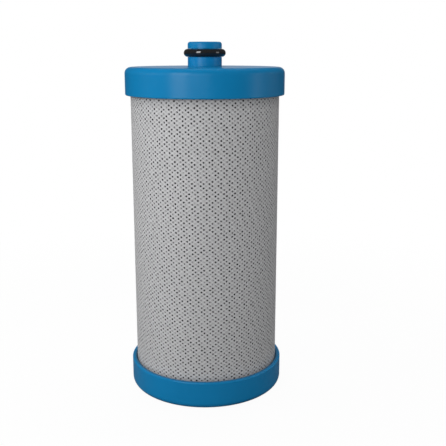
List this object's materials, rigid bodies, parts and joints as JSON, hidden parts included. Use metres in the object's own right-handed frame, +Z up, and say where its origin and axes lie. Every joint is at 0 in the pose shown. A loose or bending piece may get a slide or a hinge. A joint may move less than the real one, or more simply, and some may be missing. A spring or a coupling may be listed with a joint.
{
  "type": "refrigerator water filter",
  "caption": "Drop-in water filter cartridge: carbon block and nonwoven wrap under a diamond net, held between moulded end caps, with an O-ring sealed outlet spigot on top.",
  "frame": {"origin": "middle of the lower cap's flat outer face, on the cartridge's axis", "axes": "+Z up the cartridge's axis towards the outlet spigot, with +X across it"},
  "size_m": [0.0642, 0.0642, 0.1435],
  "materials": {
    "cap_plastic": "satin moulded polypropylene",
    "seal_rubber": "smooth, lightly greased",
    "net_plastic": "extruded netting, matte",
    "prefilter_nonwoven": "spun-bonded nonwoven",
    "carbon": "sintered carbon, granular",
    "inner_nonwoven": "spun-bonded nonwoven",
    "hot_melt": "cast hot-melt adhesive"
  },
  "bodies": {
    "root": {"bottom_end_cap": "cap_plastic", "top_end_cap": "cap_plastic", "spigot_o_ring": "seal_rubber", "outer_netting": "net_plastic", "prefilter_wrap": "prefilter_nonwoven", "carbon_block": "carbon", "inner_wrap": "inner_nonwoven", "bottom_adhesive": "hot_melt", "top_adhesive": "hot_melt"}
  },
  "joints": []
}
